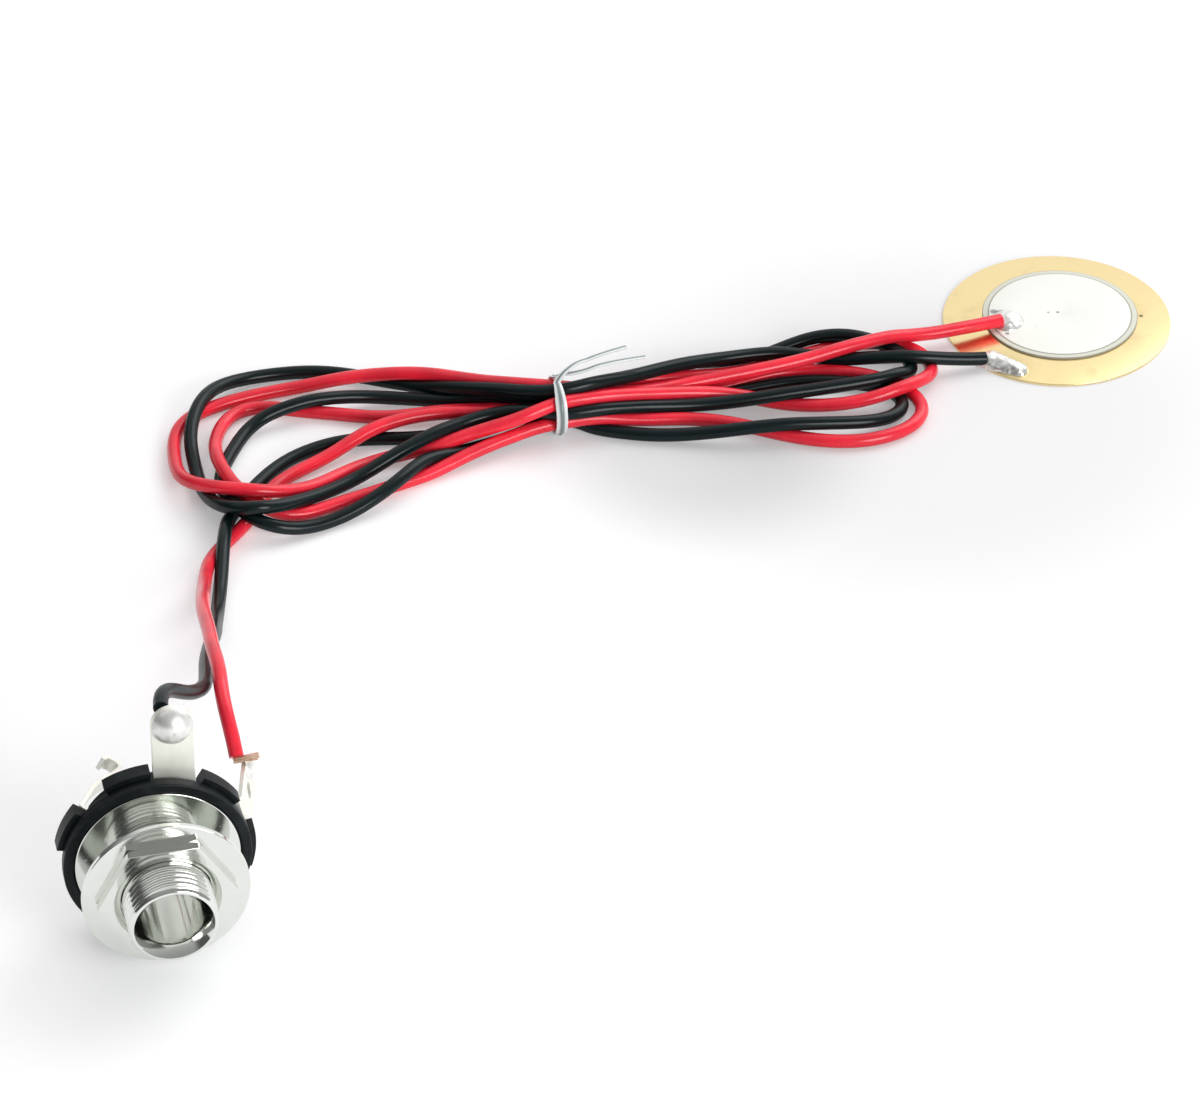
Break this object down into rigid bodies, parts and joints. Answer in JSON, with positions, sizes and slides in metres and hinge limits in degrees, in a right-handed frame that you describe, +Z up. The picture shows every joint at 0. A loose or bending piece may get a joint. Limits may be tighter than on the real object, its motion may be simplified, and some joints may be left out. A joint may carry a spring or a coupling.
{
  "type": "drum trigger transducer",
  "caption": "Piezo sensor disc wired to a round panel jack by a red and a black wire, with the spare length of the wires tied in a flat hank.",
  "frame": {"origin": "centre of the disc's underside, on the surface that the part lies on", "axes": "+Z up; the jack's axis is level and its plug entry faces -Y; the hank lies along X"},
  "size_m": [0.1452, 0.1151, 0.0288],
  "materials": {
    "brass": "satin rolled sheet",
    "ceramic": "fired edge",
    "electrode": "fired silver, matt",
    "solder": "bright solder",
    "nickel": "nickel plate",
    "black_plastic": "moulded",
    "tinned": "tinned sheet",
    "copper": "bare strands",
    "red_wire": "smooth insulation",
    "black_wire": "smooth insulation",
    "tie": "bare wire"
  },
  "bodies": {
    "root": {"brass_plate": "brass", "ceramic_disc": "ceramic", "silver_electrode": "electrode", "electrode_joint": "solder", "plate_joint": "solder", "bushing": "nickel", "hex_nut": "nickel", "panel_washer": "nickel", "front_insulator": "black_plastic", "slotted_insulator": "black_plastic", "rear_insulator": "black_plastic", "sleeve_terminal": "tinned", "tip_contact": "tinned", "sleeve_solder": "solder", "tag_solder": "solder", "copper_strands": "copper", "black_lead_jack": "black_wire", "red_lead_jack": "red_wire", "wire_hank": "red_wire", "black_lead_disc": "black_wire", "red_lead_disc": "red_wire", "tie_wire": "tie"}
  },
  "joints": []
}
